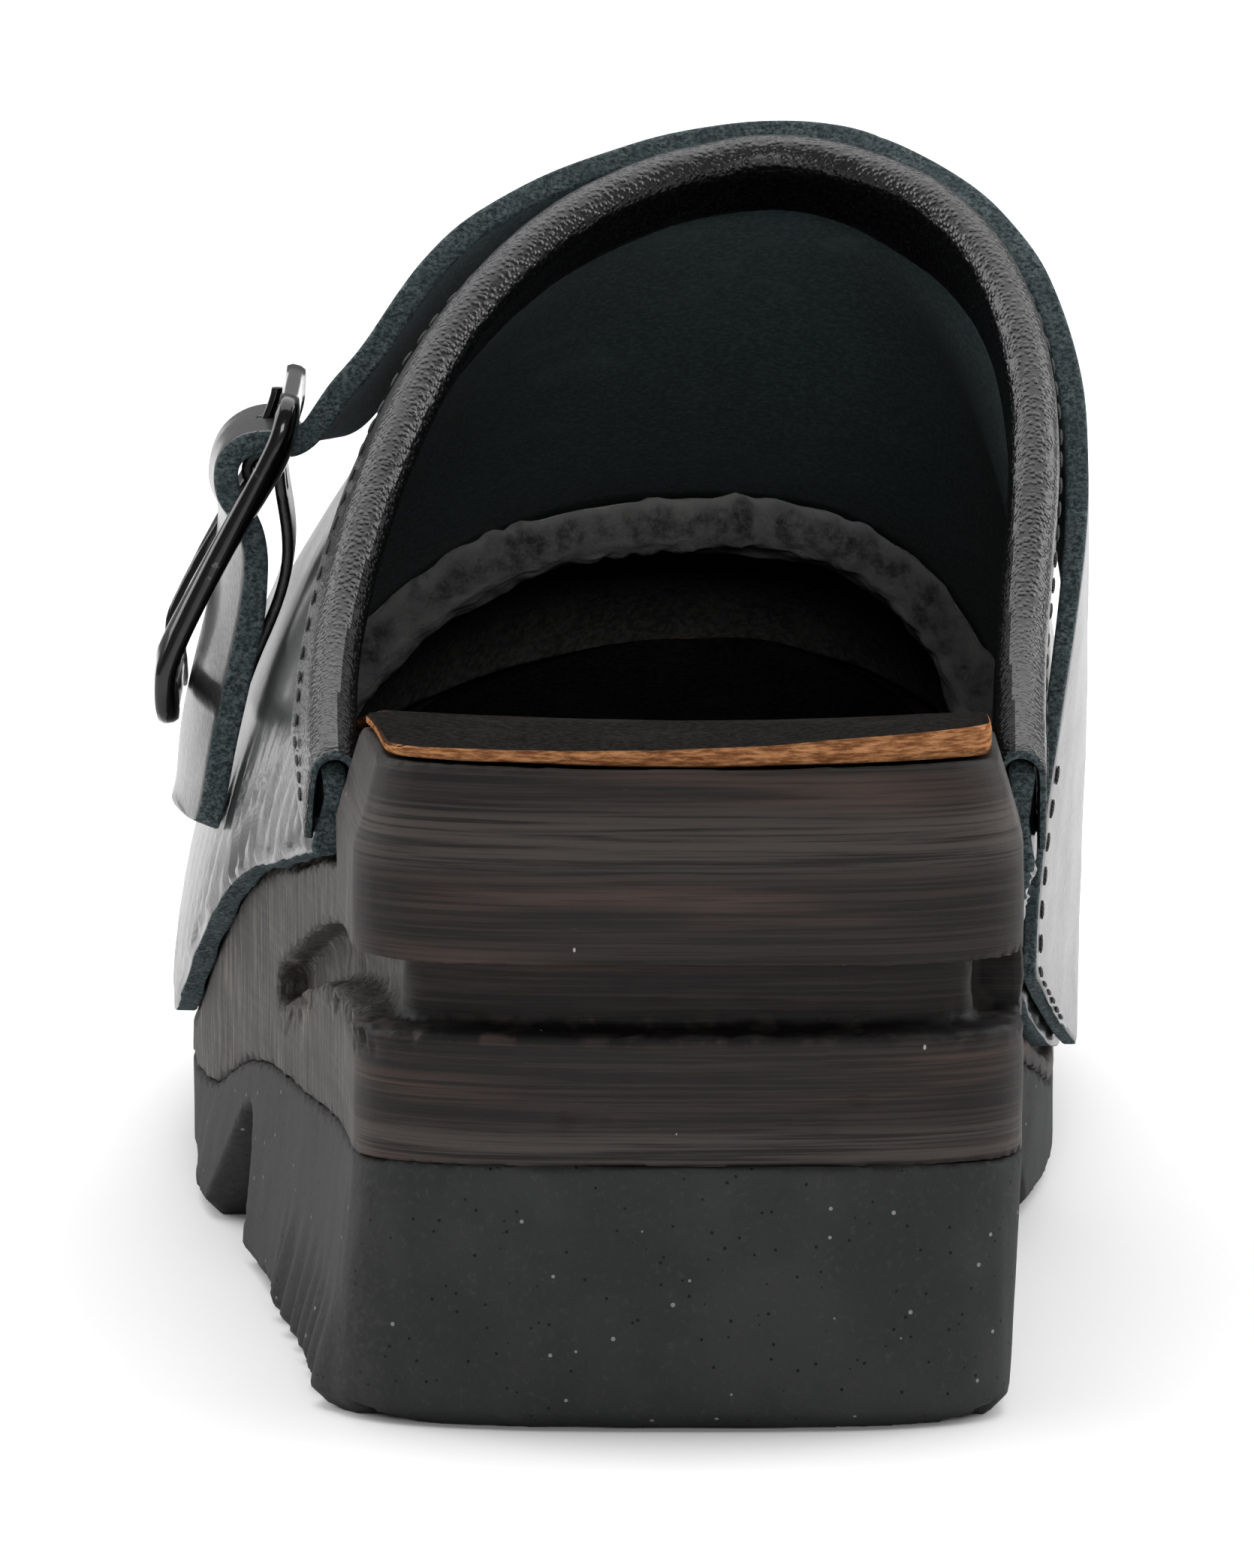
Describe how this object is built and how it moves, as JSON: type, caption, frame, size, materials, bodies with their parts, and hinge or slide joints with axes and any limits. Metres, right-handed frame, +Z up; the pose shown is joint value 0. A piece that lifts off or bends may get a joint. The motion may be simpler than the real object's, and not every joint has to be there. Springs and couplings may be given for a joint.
{
  "type": "safety clog",
  "caption": "Left safety clog with a wooden wedge sole, rubber outsole, hollow black leather upper, toe cap and buckled instep strap.",
  "frame": {"origin": "on the floor under the heel, 45 mm in front of the back of the heel, on the shoe's middle plane", "axes": "+Z up, +Y towards the toe, +X towards the inner side of the left foot"},
  "size_m": [0.1078, 0.2703, 0.1265],
  "materials": {
    "black stained wood": "matt stain, worn",
    "charcoal rubber": "matt",
    "leather sock": "matt",
    "polished black leather": "polished",
    "pebbled black leather": "pebbled",
    "matt black cap": "matt paint",
    "grey felt": "napped",
    "black strap leather": "smooth",
    "dark nickel": "dark plated",
    "black holder leather": "smooth",
    "prong nickel": "dark plated"
  },
  "bodies": {
    "root": {"wooden_sole": "black stained wood", "outsole": "charcoal rubber", "insole": "leather sock", "upper": "polished black leather", "topline_binding": "pebbled black leather", "toe_cap": "matt black cap", "cap_edge_strip": "grey felt", "instep_strap": "black strap leather", "buckle_frame": "dark nickel", "buckle_strap": "black holder leather", "buckle_prong": "prong nickel"}
  },
  "joints": []
}
